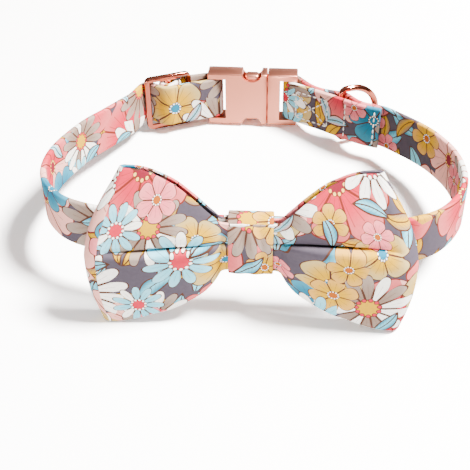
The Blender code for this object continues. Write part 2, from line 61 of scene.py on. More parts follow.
ring_axis = Vector(frame["joints"][0]["axis"])
collar_tilt = math.atan2(ring_axis.y, ring_axis.z)
lean = Matrix.Rotation(-collar_tilt, 4, "X")


def paint(code):
    """A colour as a dyer's chart gives it, ready for a shader."""
    values = []
    for place in (0, 2, 4):
        value = int(code[place:place + 2], 16) / 255
        values.append(value / 12.92 if value < 0.04045 else ((value + 0.055) / 1.055) ** 2.4)
    return (*values, 1.0)


def underside_ties(shape, foot):
    """Walks the strap's lower face, from tie to tie across it, and gives their middles."""
    longest = strap_thickness * 0.70

    def is_low(face):
        return all(vert.co.z < foot + 0.00002 for vert in face.verts)

    def is_inside(edge):
        return len([face for face in edge.link_faces if is_low(face)]) == 2

    def is_tie(edge):
        return is_inside(edge) and edge.calc_length() < longest

    def walk(tie, face):
        line = []
        while face is not None:
            line_edge = None
            for edge in face.edges:
                if edge is not tie and is_inside(edge):
                    line_edge = edge
            if line_edge is None:
                break
            if is_tie(line_edge):
                beyond = line_edge
            else:
                face = [f for f in line_edge.link_faces if f is not face][0]
                others = [edge for edge in face.edges if edge is not line_edge]
                ties = [edge for edge in others if is_tie(edge)]
                if not ties:
                    last = min(others, key=lambda edge: edge.calc_length())
                    line.append((last.verts[0].co + last.verts[1].co) / 2)
                    break
                beyond = ties[0]
            line.append((beyond.verts[0].co + beyond.verts[1].co) / 2)
            face = [f for f in beyond.link_faces if f is not face][0]
            tie = beyond
        return line

    start = next(edge for edge in shape.edges if is_tie(edge))
    middle = (start.verts[0].co + start.verts[1].co) / 2
    return walk(start, start.link_faces[0])[::-1] + [middle] + walk(start, start.link_faces[1])


def read_strap():
    """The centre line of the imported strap, from its sewn-back end, and its lower edge."""
    shape = bmesh.new()
    shape.from_mesh(frame["nodes"]["strap"].data)
    bmesh.ops.remove_doubles(shape, verts=shape.verts, dist=merge_distance)
    bmesh.ops.transform(shape, matrix=lean.inverted(), verts=shape.verts)
    foot = min(vert.co.z for vert in shape.verts)
    line = underside_ties(shape, foot)
    shape.free()
    if line[0].x < line[-1].x:
        line.reverse()
    return [Vector((spot.x, spot.y)) for spot in line], foot


def smooth_line(points, step):
    """Even steps along a smooth line through the points."""
    ends = [points[0] * 2 - points[1]] + points + [points[-1] * 2 - points[-2]]
    fine = []
    for before, start, stop, after in zip(ends, ends[1:], ends[2:], ends[3:]):
        count = max(2, round((stop - start).length / step * 4))
        pull_in = (stop - before) * (stop - start).length / ((stop - before).length + 1e-9)
        pull_out = (after - start) * (stop - start).length / ((after - start).length + 1e-9)
        for i in range(count):
            t = i / count
            fine.append(start * (2 * t ** 3 - 3 * t ** 2 + 1) + pull_in * (t ** 3 - 2 * t ** 2 + t)
                        + stop * (3 * t ** 2 - 2 * t ** 3) + pull_out * (t ** 3 - t ** 2))
    fine.append(points[-1])
    travel = [0.0]
    for here, there in zip(fine, fine[1:]):
        travel.append(travel[-1] + (there - here).length)
    count = round(travel[-1] / step)
    even = []
    place = 0
    for i in range(count + 1):
        wanted = travel[-1] * i / count
        while place < len(fine) - 2 and travel[place + 1] < wanted:
            place += 1
        span = travel[place + 1] - travel[place]
        share = (wanted - travel[place]) / span if span > 1e-9 else 0.0
        even.append(fine[place].lerp(fine[place + 1], min(1.0, share)))
    return even, travel[-1]


def wrap_grid(name, columns, rows, place, cloth, join_columns=False, join_rows=False):
    """A flat grid bent to a shape. place gives a point, cloth gives its spot on the print."""
    bpy.ops.object.select_all(action="DESELECT")
    bpy.ops.mesh.primitive_grid_add(x_subdivisions=columns, y_subdivisions=rows, size=2.0)
    piece = bpy.context.object
    piece.name = name
    mesh = piece.data
    cells = [(round((v.co.x + 1) / 2 * columns), round((v.co.y + 1) / 2 * rows)) for v in mesh.vertices]
    layer = mesh.uv_layers.active
    for loop in mesh.loops:
        layer.data[loop.index].uv = cloth(*cells[loop.vertex_index])
    for vertex, (column, row) in zip(mesh.vertices, cells):
        column = column % columns if join_columns else column
        row = row % rows if join_rows else row
        vertex.co = place(column, row)
    bpy.ops.object.mode_set(mode="EDIT")
    bpy.ops.mesh.select_all(action="SELECT")
    bpy.ops.mesh.remove_doubles(threshold=merge_distance)
    bpy.ops.object.mode_set(mode="OBJECT")
    return piece


def finish_piece(piece, body, slot, *nodes):
    """Turns a piece into the frame's own place and hangs it on its body."""
    piece.data.transform(lean)
    piece.data.update()
    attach(piece, body)
    if nodes:
        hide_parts(*nodes)


def apply_all(piece):
    bpy.ops.object.select_all(action="DESELECT")
    bpy.context.view_layer.objects.active = piece
    piece.select_set(True)
    for step in list(piece.modifiers):
        bpy.ops.object.modifier_apply(modifier=step.name)


def face_outwards(piece):
    bpy.ops.object.select_all(action="DESELECT")
    bpy.context.view_layer.objects.active = piece
    piece.select_set(True)
    bpy.ops.object.mode_set(mode="EDIT")
    bpy.ops.mesh.select_all(action="SELECT")
    bpy.ops.mesh.normals_make_consistent(inside=False)
    bpy.ops.object.mode_set(mode="OBJECT")


strap_points, strap_foot = read_strap()
strap_line, strap_length = smooth_line(strap_points, strap_step)
strap_middle = strap_foot + strap_width / 2
strap_stations = len(strap_line) - 1


def strap_heading(index):
    before = strap_line[max(0, index - 1)]
    after = strap_line[min(strap_stations, index + 1)]
    return (after - before).normalized()


def strap_spot(travel, height, out):
    """A point of the strap: along it, up from its middle, and off its centre line to the left."""
    exact = min(max(travel / strap_length, 0.0), 1.0) * strap_stations
    low = min(int(exact), strap_stations - 1)
    middle = strap_line[low].lerp(strap_line[low + 1], exact - low)
    heading = strap_heading(low).lerp(strap_heading(low + 1), exact - low)
    left = Vector((-heading.y, heading.x)).normalized()
    return Vector((*(middle + left * out), strap_middle + height))


edge_points = 6
face_points = 12


def strap_profile():
    """The strap's section from the middle of its lower edge, round its right face first."""
    half = strap_width / 2
    thick = strap_thickness / 2
    section = []
    corners = ((1, -1), (1, 1), (-1, 1), (-1, -1))
    for side, level in corners:
        for i in range(edge_points + 1):
            turn = math.pi / 2 * i / edge_points
            if side * level > 0:
                turn = math.pi / 2 - turn
            section.append((side * (thick - strap_edge * (1 - math.sin(turn))),
                            level * (half - strap_edge * (1 - math.cos(turn)))))
        if level * side < 0:
            for i in range(1, face_points):
                height = level * (half - strap_edge) * (1 - 2 * i / face_points)
                section.append((side * thick, height))
    return section


section = strap_profile()
around = [0.0]
for here, there in zip(section, section[1:] + section[:1]):
    around.append(around[-1] + math.hypot(there[0] - here[0], there[1] - here[1]))


def strap_point(column, row):
    out, height = section[row]
    travel = column / strap_stations * strap_length
    ripple = strap_ripple * math.sin(travel * 640 + 2.2 * math.sin(travel * 173))
    ripple *= 1 - (2 * abs(height) / strap_width) ** 4
    return strap_spot(travel, height, -(out + math.copysign(ripple, out)))


def strap_cloth_spot(column, row):
    return (column / strap_stations * strap_length, around[row])


strap = wrap_grid("strap_printed_cotton", strap_stations, len(section), strap_point, strap_cloth_spot,
                  join_rows=True)
# Both cut ends are closed
shape = bmesh.new()
shape.from_mesh(strap.data)
bmesh.ops.holes_fill(shape, edges=[edge for edge in shape.edges if edge.is_boundary], sides=0)
shape.to_mesh(strap.data)
shape.free()
face_outwards(strap)
bpy.ops.object.shade_smooth_by_angle(angle=math.radians(50))


def group_of(name, inputs, outputs):
    """A shader group with these sockets, and the ends of its inputs and outputs."""
    tree = bpy.data.node_groups.new(name, "ShaderNodeTree")
    for direction, sockets in (("INPUT", inputs), ("OUTPUT", outputs)):
        for label, kind, value in sockets:
            socket = tree.interface.new_socket(label, in_out=direction, socket_type="NodeSocket" + kind)
            if value is not None:
                socket.default_value = value
    return tree, tree.nodes.new("NodeGroupInput").outputs, tree.nodes.new("NodeGroupOutput").inputs


def feed(tree, socket, value):
    if isinstance(value, bpy.types.NodeSocket):
        tree.links.new(value, socket)
    elif value is not None:
        socket.default_value = value


def calc(tree, operation, *values, clamp=False):
    step = tree.nodes.new("ShaderNodeMath")
    step.operation = operation
    step.use_clamp = clamp
    for socket, value in zip(step.inputs, values):
        feed(tree, socket, value)
    return step.outputs[0]


def lay_over(tree, mask, under, over):
    step = tree.nodes.new("ShaderNodeMix")
    step.data_type = "RGBA"
    feed(tree, step.inputs[0], mask)
    feed(tree, step.inputs[6], under)
    feed(tree, step.inputs[7], over)
    return step.outputs[2]


def ramp(tree, value, low, high):
    step = tree.nodes.new("ShaderNodeMapRange")
    step.interpolation_type = "SMOOTHSTEP"
    for socket, given in zip(step.inputs, (value, low, high)):
        feed(tree, socket, given)
    return step.outputs[0]


def nearest_motif(tree, given):
    """The way from the nearest motif's middle, as x and y, and three random numbers."""
    scaled = tree.nodes.new("ShaderNodeVectorMath")
    scaled.operation = "SCALE"
    feed(tree, scaled.inputs[0], given["Cloth"])
    feed(tree, scaled.inputs["Scale"], calc(tree, "DIVIDE", 1.0, given["Spacing"]))
    moved = tree.nodes.new("ShaderNodeVectorMath")
    feed(tree, moved.inputs[0], scaled.outputs[0])
    feed(tree, moved.inputs[1], given["Start"])
    cells = tree.nodes.new("ShaderNodeTexVoronoi")
    cells.voronoi_dimensions = "2D"
    cells.inputs["Scale"].default_value = 1.0
    feed(tree, cells.inputs["Vector"], moved.outputs[0])
    feed(tree, cells.inputs["Randomness"], given["Scatter"])
    away = tree.nodes.new("ShaderNodeVectorMath")
    away.operation = "SUBTRACT"
    feed(tree, away.inputs[0], moved.outputs[0])
    feed(tree, away.inputs[1], cells.outputs["Position"])
    chance = tree.nodes.new("ShaderNodeSeparateColor")
    feed(tree, chance.inputs[0], cells.outputs["Color"])
    spin = tree.nodes.new("ShaderNodeVectorRotate")
    spin.rotation_type = "Z_AXIS"
    feed(tree, spin.inputs["Vector"], away.outputs[0])
    feed(tree, spin.inputs["Angle"], calc(tree, "MULTIPLY", chance.outputs[0], math.tau))
    parts = tree.nodes.new("ShaderNodeSeparateXYZ")
    feed(tree, parts.inputs[0], spin.outputs[0])
    return parts.outputs[0], parts.outputs[1], chance.outputs


def length_of(tree, x, y):
    return calc(tree, "SQRT", calc(tree, "ADD", calc(tree, "POWER", x, 2.0), calc(tree, "POWER", y, 2.0)))


def covers(tree, given, inside, chance):
    """Where a motif lies: inside its outline, and only in its share of the places."""
    drawn = calc(tree, "FRACT", calc(tree, "MULTIPLY", chance, 7.3))
    kept = calc(tree, "LESS_THAN", drawn, given["Share"])
    return calc(tree, "MULTIPLY", calc(tree, "GREATER_THAN", inside, 0.0), kept)


motif_inputs = [("Cloth", "Vector", None), ("Spacing", "Float", 0.02), ("Start", "Vector", None),
                ("Scatter", "Float", 0.7), ("Share", "Float", 1.0)]


def make_flower():
    """Scattered flowers: notched petals with veins and an outline, round a beaded heart."""
    tree, given, made = group_of("printed_flower", motif_inputs + [
        ("Radius", "Float", 0.4), ("Petals", "Float", 5.0), ("Petal Depth", "Float", 0.3),
        ("Roundness", "Float", 2.0), ("Heart", "Float", 0.2), ("Line", "Float", 0.03),
        ("Mixed", "Float", 0.0), ("Fade", "Float", 0.8),
        ("Petal", "Color", None), ("Other Petal", "Color", None), ("Tip", "Color", None),
        ("Heart Colour", "Color", None), ("Bead", "Color", None), ("Outline", "Color", None),
    ], [("Colour", "Color", None), ("Cover", "Float", None)])
    x, y, chance = nearest_motif(tree, given)
    size = calc(tree, "MULTIPLY", given["Radius"], calc(tree, "MULTIPLY_ADD", chance[1], 0.45, 0.72))
    radius = calc(tree, "DIVIDE", length_of(tree, x, y), size)
    angle = calc(tree, "ARCTAN2", y, x)
    half_turns = calc(tree, "MULTIPLY", angle, calc(tree, "DIVIDE", given["Petals"], 2.0))
    wave = calc(tree, "ABSOLUTE", calc(tree, "COSINE", half_turns))
    notch = calc(tree, "POWER", calc(tree, "SUBTRACT", 1.0, wave), given["Roundness"])
    outline = calc(tree, "SUBTRACT", 1.0, calc(tree, "MULTIPLY", given["Petal Depth"], notch))
    inside = calc(tree, "SUBTRACT", outline, radius)
    # Chance picks one of two colours for a flower, and Mixed lets its petals differ
    petals_a_turn = calc(tree, "DIVIDE", given["Petals"], math.tau)
    petal = calc(tree, "FLOOR", calc(tree, "MULTIPLY_ADD", angle, petals_a_turn, 0.5))
    wrapped = calc(tree, "MODULO", calc(tree, "ADD", petal, given["Petals"]), given["Petals"])
    dice = tree.nodes.new("ShaderNodeTexWhiteNoise")
    dice.noise_dimensions = "1D"
    feed(tree, dice.inputs["W"], calc(tree, "ADD", wrapped, calc(tree, "MULTIPLY", chance[0], 37.0)))
    off_even = calc(tree, "SUBTRACT", dice.outputs["Value"], 0.5)
    choice = calc(tree, "MULTIPLY_ADD", off_even, given["Mixed"], chance[2])
    first = lay_over(tree, calc(tree, "GREATER_THAN", choice, 0.5), given["Petal"], given["Other Petal"])
    fading = ramp(tree, calc(tree, "DIVIDE", radius, outline), 0.35, 1.0)
    colour = lay_over(tree, calc(tree, "MULTIPLY", fading, given["Fade"]), first, given["Tip"])
    # Fine veins run out along each petal
    strands = calc(tree, "ABSOLUTE", calc(tree, "SINE", calc(tree, "MULTIPLY", half_turns, 3.0)))
    vein = calc(tree, "MULTIPLY", calc(tree, "LESS_THAN", strands, 0.13),
                calc(tree, "LESS_THAN", radius, 0.72))
    colour = lay_over(tree, calc(tree, "MULTIPLY", vein, 0.55), colour, given["Outline"])
    gap = calc(tree, "DIVIDE", calc(tree, "MULTIPLY", wave, calc(tree, "MULTIPLY", radius, 2.0)),
               given["Petals"])
    gap_line = calc(tree, "LESS_THAN", gap, calc(tree, "MULTIPLY", given["Line"], 0.7))
    drawn = calc(tree, "MAXIMUM", gap_line, calc(tree, "LESS_THAN", inside, given["Line"]))
    colour = lay_over(tree, drawn, colour, given["Outline"])
    heart_edge = calc(tree, "SUBTRACT", given["Heart"], radius)
    rim = calc(tree, "MULTIPLY", given["Line"], -1.0)
    colour = lay_over(tree, calc(tree, "GREATER_THAN", heart_edge, rim), colour, given["Outline"])
    colour = lay_over(tree, calc(tree, "GREATER_THAN", heart_edge, 0.0), colour, given["Heart Colour"])
    # A ring of beads stands round the heart
    beads = 11
    turn = calc(tree, "SUBTRACT", calc(tree, "FRACT", calc(tree, "MULTIPLY", angle, beads / math.tau)), 0.5)
    along = calc(tree, "MULTIPLY", calc(tree, "MULTIPLY", turn, math.tau / beads), given["Heart"])
    bead = length_of(tree, along, heart_edge)
    bead_size = calc(tree, "MULTIPLY", given["Heart"], 0.24)
    colour = lay_over(tree, calc(tree, "LESS_THAN", bead, bead_size), colour, given["Outline"])
    colour = lay_over(tree, calc(tree, "LESS_THAN", bead, calc(tree, "MULTIPLY", bead_size, 0.72)),
                      colour, given["Bead"])
    feed(tree, made["Colour"], colour)
    feed(tree, made["Cover"], covers(tree, given, inside, chance[0]))
    return tree


def make_leaf():
    """Scattered leaves: pointed at both ends, bent along a rib with side veins."""
    tree, given, made = group_of("printed_leaf", motif_inputs + [
        ("Length", "Float", 0.45), ("Width", "Float", 0.16), ("Line", "Float", 0.02),
        ("Leaf", "Color", None), ("Other Leaf", "Color", None), ("Rib", "Color", None),
        ("Outline", "Color", None),
    ], [("Colour", "Color", None), ("Cover", "Float", None)])
    x, y, chance = nearest_motif(tree, given)
    share = calc(tree, "DIVIDE", x, given["Length"])
    curve = calc(tree, "MULTIPLY", calc(tree, "MULTIPLY", x, x), 0.55)
    off_rib = calc(tree, "ABSOLUTE", calc(tree, "SUBTRACT", y, curve))
    half = calc(tree, "MULTIPLY", given["Width"],
                calc(tree, "SUBTRACT", 1.0, calc(tree, "POWER", calc(tree, "ABSOLUTE", share), 1.8)))
    inside = calc(tree, "SUBTRACT", half, off_rib)
    colour = lay_over(tree, calc(tree, "GREATER_THAN", chance[2], 0.5), given["Leaf"], given["Other Leaf"])
    colour = lay_over(tree, ramp(tree, off_rib, 0.0, given["Width"]), given["Rib"], colour)
    slant = calc(tree, "MULTIPLY", calc(tree, "SUBTRACT", share, calc(tree, "MULTIPLY", off_rib, 2.4)), 5.0)
    side_vein = calc(tree, "LESS_THAN", calc(tree, "FRACT", slant), 0.10)
    colour = lay_over(tree, calc(tree, "MULTIPLY", side_vein, 0.5), colour, given["Outline"])
    rib_line = calc(tree, "LESS_THAN", off_rib, calc(tree, "MULTIPLY", given["Line"], 0.4))
    drawn = calc(tree, "MAXIMUM", rib_line, calc(tree, "LESS_THAN", inside, given["Line"]))
    feed(tree, made["Colour"], lay_over(tree, drawn, colour, given["Outline"]))
    feed(tree, made["Cover"], covers(tree, given, inside, chance[0]))
    return tree


flower_group = make_flower()
leaf_group = make_leaf()
outline_brown = paint("4a2c20")
outline_rust = paint("6b261c")
print_ground = paint("4b444e")
print_scale = 0.84
weave_thread = 0.00042
white = paint("fffaf2")
blush = paint("eda99c")
coral = paint("c4283e")
rose = paint("e4707a")
sky = paint("72c6da")
teal = paint("10708e")
mustard = paint("cc9a08")
wine = paint("7a1a2b")
straw = paint("f0c060")
orange = paint("a8550f")
taupe = paint("867062")
# The print's motifs, from the lowest to the uppermost, sizes but Spacing as shares of Spacing
print_layers = [
    (leaf_group, {
        "Spacing": 0.0160, "Start": (3.1, 7.7, 0), "Scatter": 0.8,
        "Length": 0.52, "Width": 0.20, "Line": 0.033,
        "Leaf": sky, "Other Leaf": teal, "Rib": sky, "Outline": outline_brown}),
    (leaf_group, {
        "Spacing": 0.0130, "Start": (9.4, 1.3, 0), "Scatter": 0.9, "Share": 0.85,
        "Length": 0.50, "Width": 0.20, "Line": 0.035,
        "Leaf": mustard, "Other Leaf": taupe, "Rib": mustard, "Outline": outline_brown}),
    (flower_group, {
        "Spacing": 0.0340, "Start": (1.7, 4.2, 0), "Scatter": 0.8, "Radius": 0.50,
        "Petals": 7.0, "Petal Depth": 0.20, "Roundness": 3.0, "Heart": 0.17, "Line": 0.029,
        "Mixed": 0.8, "Fade": 0.30, "Petal": coral, "Other Petal": blush, "Tip": blush,
        "Heart Colour": wine, "Bead": straw, "Outline": outline_rust}),
    (flower_group, {
        "Spacing": 0.0250, "Start": (5.9, 2.6, 0), "Scatter": 0.9, "Share": 0.78, "Radius": 0.46,
        "Petals": 5.0, "Petal Depth": 0.34, "Roundness": 2.2, "Heart": 0.17, "Line": 0.037,
        "Fade": 0.22, "Petal": teal, "Other Petal": mustard, "Tip": sky,
        "Heart Colour": teal, "Bead": white, "Outline": outline_brown}),
    (flower_group, {
        "Spacing": 0.0330, "Start": (8.3, 6.1, 0), "Scatter": 0.7, "Share": 0.72, "Radius": 0.47,
        "Petals": 14.0, "Petal Depth": 0.42, "Roundness": 1.3, "Heart": 0.25, "Line": 0.033,
        "Mixed": 0.9, "Fade": 0.10, "Petal": white, "Other Petal": taupe, "Tip": white,
        "Heart Colour": mustard, "Bead": coral, "Outline": outline_brown}),
    (flower_group, {
        "Spacing": 0.0185, "Start": (2.2, 9.5, 0), "Scatter": 0.9, "Share": 0.42, "Radius": 0.38,
        "Petals": 6.0, "Petal Depth": 0.36, "Roundness": 2.0, "Heart": 0.20, "Line": 0.043,
        "Fade": 0.2, "Petal": rose, "Other Petal": mustard, "Tip": blush,
        "Heart Colour": orange, "Bead": white, "Outline": outline_brown}),
    (flower_group, {
        "Spacing": 0.0280, "Start": (4.4, 8.8, 0), "Scatter": 0.9, "Share": 0.50, "Radius": 0.38,
        "Petals": 11.0, "Petal Depth": 0.50, "Roundness": 1.1, "Heart": 0.27, "Line": 0.039,
        "Mixed": 0.9, "Fade": 0.1, "Petal": sky, "Other Petal": white, "Tip": white,
        "Heart Colour": coral, "Bead": white, "Outline": outline_brown}),
    (leaf_group, {
        "Spacing": 0.0170, "Start": (6.6, 3.9, 0), "Scatter": 0.9, "Share": 0.40,
        "Length": 0.36, "Width": 0.14, "Line": 0.033,
        "Leaf": teal, "Other Leaf": blush, "Rib": sky, "Outline": outline_brown}),
]


def make_print():
    """The whole print: all motifs laid over the ground in turn."""
    tree, given, made = group_of("flower_print", [("Cloth", "Vector", None)], [("Colour", "Color", None)])
    colour = print_ground
    for group, values in print_layers:
        motif = tree.nodes.new("ShaderNodeGroup")
        motif.node_tree = group
        for label, value in values.items():
            motif.inputs[label].default_value = value
        feed(tree, motif.inputs["Cloth"], given["Cloth"])
        colour = lay_over(tree, motif.outputs["Cover"], colour, motif.outputs["Colour"])
    feed(tree, made["Colour"], colour)
    return tree


def make_weave():
    """A plain weave: the height of its threads and a faint change of shade."""
    tree, given, made = group_of("plain_weave", [("Cloth", "Vector", None), ("Thread", "Float", 0.0004)],
                                 [("Height", "Float", None), ("Shade", "Float", None)])
    parts = tree.nodes.new("ShaderNodeSeparateXYZ")
    feed(tree, parts.inputs[0], given["Cloth"])
    waves = []
    for direction in (0, 1):
        threads = calc(tree, "DIVIDE", parts.outputs[direction], given["Thread"])
        waves.append(calc(tree, "SINE", calc(tree, "MULTIPLY", threads, math.pi)))
    woven = calc(tree, "MULTIPLY", waves[0], waves[1])
    slub = tree.nodes.new("ShaderNodeTexNoise")
    feed(tree, slub.inputs["Vector"], given["Cloth"])
    slub.inputs["Scale"].default_value = 900.0
    slub.inputs["Detail"].default_value = 2.0
    feed(tree, made["Height"], calc(tree, "MULTIPLY_ADD", calc(tree, "ABSOLUTE", woven), 0.8,
                                    calc(tree, "MULTIPLY", slub.outputs[0], 0.5)))
    feed(tree, made["Shade"], calc(tree, "MULTIPLY_ADD", slub.outputs[0], 0.22, 0.88))
    return tree


print_group = make_print()
weave_group = make_weave()


def new_material(name):
    """A material, its nodes and its shader."""
    material = bpy.data.materials.new(name)
    material.use_nodes = True
    return material, material.node_tree, material.node_tree.nodes["Principled BSDF"]


def printed_cotton(name, start):
    """Cotton with the flower print, its cut starting at another spot of the cloth."""
    material, tree, shader = new_material(name)
    cut = tree.nodes.new("ShaderNodeUVMap")
    cut.uv_map = "UVMap"
    spot = tree.nodes.new("ShaderNodeMapping")
    spot.inputs["Location"].default_value = (*start, 0.0)
    spot.inputs["Scale"].default_value = (print_scale, print_scale, 1.0)
    feed(tree, spot.inputs["Vector"], cut.outputs[0])
    flowers = tree.nodes.new("ShaderNodeGroup")
    flowers.node_tree = print_group
    feed(tree, flowers.inputs["Cloth"], spot.outputs[0])
    weave = tree.nodes.new("ShaderNodeGroup")
    weave.node_tree = weave_group
    weave.inputs["Thread"].default_value = weave_thread
    feed(tree, weave.inputs["Cloth"], spot.outputs[0])
    shaded = tree.nodes.new("ShaderNodeMix")
    shaded.data_type = "RGBA"
    shaded.blend_type = "MULTIPLY"
    shaded.inputs[0].default_value = 1.0
    feed(tree, shaded.inputs[6], flowers.outputs["Colour"])
    feed(tree, shaded.inputs[7], weave.outputs["Shade"])
    feed(tree, shader.inputs["Base Color"], shaded.outputs[2])
    bump = tree.nodes.new("ShaderNodeBump")
    bump.inputs["Strength"].default_value = 0.35
    bump.inputs["Distance"].default_value = 0.00012
    feed(tree, bump.inputs["Height"], weave.outputs["Height"])
    feed(tree, shader.inputs["Normal"], bump.outputs[0])
    shader.inputs["Roughness"].default_value = 0.90
    shader.inputs["Specular IOR Level"].default_value = 0.15
    return material


strap.data.materials.append(printed_cotton("strap_printed_cotton", (0.31, 0.12)))
finish_piece(strap, "collar", "strap_cloth", "strap")

# Stitching: white thread sewn through both layers of the folded end, a box with a cross
# beside the buckle and two rows across, one at the ring and one at the cut edge.
stitch_length = 0.0021
stitch_pitch = 0.0027
thread_radius = 0.00034
folded_length = 0.0480
box_near = folded_length - 0.0040
box_far = folded_length - 0.0215
box_half = 0.0066
ring_row = 0.0168
end_row = 0.0025
row_half = box_half * 1.3


def add_stitches(start, stop):
    """Stitches from one spot of the folded end's inner face to another."""
    span = math.hypot(stop[0] - start[0], stop[1] - start[1])
    count = max(1, round(span / stitch_pitch))
    made = []
    for i in range(count):
        middle = (i + 0.5) / count
        reach = stitch_length / 2 / span
        out = stitch_side * (strap_thickness / 2 + thread_radius * 0.35)
        ends = []
        for share in (middle - reach, middle + reach):
            travel = start[0] + (stop[0] - start[0]) * share
            height = start[1] + (stop[1] - start[1]) * share
            ends.append(strap_spot(travel, height, out))
        along = ends[1] - ends[0]
        bpy.ops.mesh.primitive_uv_sphere_add(segments=8, ring_count=6, radius=1.0)
        stitch = bpy.context.object
        turn = along.to_track_quat("Z", "Y").to_matrix().to_4x4()
        size = Matrix.Diagonal((thread_radius, thread_radius, along.length / 2, 1.0))
        stitch.data.transform(Matrix.Translation((ends[0] + ends[1]) / 2) @ turn @ size)
        made.append(stitch)
    return made


# The folded end's inner face is the side nearer to the ring's middle
off_line = strap_spot(folded_length * 0.5, 0.0, 0.001)
on_line = strap_spot(folded_length * 0.5, 0.0, 0.0)
stitch_side = 1 if off_line.length < on_line.length else -1
stitches = []
for start, stop in (
    ((box_near, -box_half), (box_far, -box_half)), ((box_near, box_half), (box_far, box_half)),
    ((box_near, -box_half), (box_near, box_half)), ((box_far, -box_half), (box_far, box_half)),
    ((box_near, -box_half), (box_far, box_half)), ((box_near, box_half), (box_far, -box_half)),
    ((ring_row, -row_half), (ring_row, row_half)), ((end_row, -row_half), (end_row, row_half)),
):
    stitches += add_stitches(start, stop)
bpy.ops.object.select_all(action="DESELECT")
for stitch in stitches:
    stitch.select_set(True)
bpy.context.view_layer.objects.active = stitches[0]
bpy.ops.object.join()
stitching = bpy.context.object
stitching.name = "stitching"
bpy.ops.object.shade_smooth()
thread_white, _, thread_shader = new_material("white_thread")
thread_shader.inputs["Base Color"].default_value = paint("f6f1ea")
stitching.data.materials.append(thread_white)
finish_piece(stitching, "collar", "strap_cloth")

# Buckle: two zinc alloy castings, plated rose gold with a satin face, snapped together.
rose_gold = paint("f59b80")
deep_rose_gold = paint("c86e58")


def plated_metal(name, colour, roughness, grain):
    """Plated metal, its roughness slightly clouded and its surface faintly grained."""
    material, tree, shader = new_material(name)
    place = tree.nodes.new("ShaderNodeTexCoord")
    cloud = tree.nodes.new("ShaderNodeTexNoise")
    cloud.inputs["Scale"].default_value = grain
    cloud.inputs["Detail"].default_value = 3.0
    feed(tree, cloud.inputs["Vector"], place.outputs["Object"])
    clouded = calc(tree, "MULTIPLY_ADD", cloud.outputs[0], 0.10, roughness - 0.05)
    feed(tree, shader.inputs["Roughness"], clouded)
    bump = tree.nodes.new("ShaderNodeBump")
    bump.inputs["Strength"].default_value = 0.08
    bump.inputs["Distance"].default_value = 0.00005
    feed(tree, bump.inputs["Height"], cloud.outputs[0])
    feed(tree, shader.inputs["Normal"], bump.outputs[0])
    shader.inputs["Base Color"].default_value = colour
    shader.inputs["Metallic"].default_value = 1.0
    return material


satin_metal = plated_metal("satin_rose_gold", rose_gold, 0.36, 1600.0)
polished_metal = plated_metal("polished_rose_gold", deep_rose_gold, 0.10, 900.0)


def smooth_copy(node, name, material, body):
    """A merged, smooth-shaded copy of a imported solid, with the same shape."""
    piece = bpy.data.objects.new(name, frame["nodes"][node].data.copy())
    bpy.context.scene.collection.objects.link(piece)
    bpy.ops.object.select_all(action="DESELECT")
    bpy.context.view_layer.objects.active = piece
    piece.select_set(True)
    bpy.ops.object.mode_set(mode="EDIT")
    bpy.ops.mesh.select_all(action="SELECT")
    bpy.ops.mesh.remove_doubles(threshold=merge_distance)
    bpy.ops.mesh.dissolve_limited(angle_limit=math.radians(0.5))
    bpy.ops.object.mode_set(mode="OBJECT")
    bpy.ops.object.shade_smooth_by_angle(angle=math.radians(35))
    piece.data.materials.clear()
    piece.data.materials.append(material)
    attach(piece, body)
    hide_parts(node)
    return piece


smooth_copy("buckle_socket", "buckle_socket_casting", satin_metal, "collar")
smooth_copy("buckle_tongue", "buckle_tongue_casting", satin_metal, "collar")

# Slider: a flat frame of polished rose gold with a middle bar, which sets the length.
smooth_copy("slider", "slider_frame", polished_metal, "collar")

# D-ring: polished wire, its straight bar held between the strap's two layers.
smooth_copy("d_ring", "d_ring_wire", polished_metal, "d_ring")

# Bow: one long strip of double cotton joined into a loop, gathered through the knot, so
# that each wing is open above and below and its front panel is pleated along the middle.
bow_width = 0.1190
bow_height = 0.0620
bow_depth = 0.0095
bow_cloth = 0.0012
bow_lean = math.radians(12.5)
bow_lower_lean = math.radians(1.0)
bow_pinch = 0.50
bow_top_pinch = 0.74
bow_turn = math.radians(-2.6)
waist_depth = 0.0034
knot_low, knot_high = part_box("knot_band")
knot_middle = lean.inverted() @ ((knot_low + knot_high) / 2)
knot_index = min(range(strap_stations), key=lambda i: (strap_line[i] - knot_middle.xy).length)
knot_spot = Vector((*strap_line[knot_index], strap_middle))
bow_place = Matrix.Translation(knot_spot) @ Matrix.Rotation(bow_turn, 4, "Z")
# along, top and bottom as shares of half the bow's width and height
bow_outline = [
    (0.00, 0.330, -0.330), (0.19, 0.340, -0.340), (0.23, 0.420, -0.430),
    (0.29, 0.520, -0.550), (0.37, 0.640, -0.645), (0.47, 0.755, -0.745),
    (0.57, 0.845, -0.825), (0.67, 0.905, -0.875), (0.77, 0.955, -0.935),
    (0.88, 0.990, -0.985), (1.00, 1.000, -1.000),
]
# height and reach as shares of half the bow's height and width
bow_end = [
    (-1.00, 0.930), (-0.75, 0.965), (-0.50, 0.990), (-0.20, 1.000), (0.00, 0.995),
    (0.30, 0.955), (0.60, 0.880), (0.85, 0.800), (1.00, 0.755),
]
# along, then depth as a share of bow_depth and how far the wing has left the waist
bow_swell = [
    (0.00, 0.00, 0.00), (0.19, 0.00, 0.00), (0.25, 0.42, 0.25), (0.36, 0.74, 0.55),
    (0.50, 0.92, 0.80), (0.70, 1.02, 1.00), (0.90, 1.00, 1.00), (1.00, 1.00, 1.00),
]
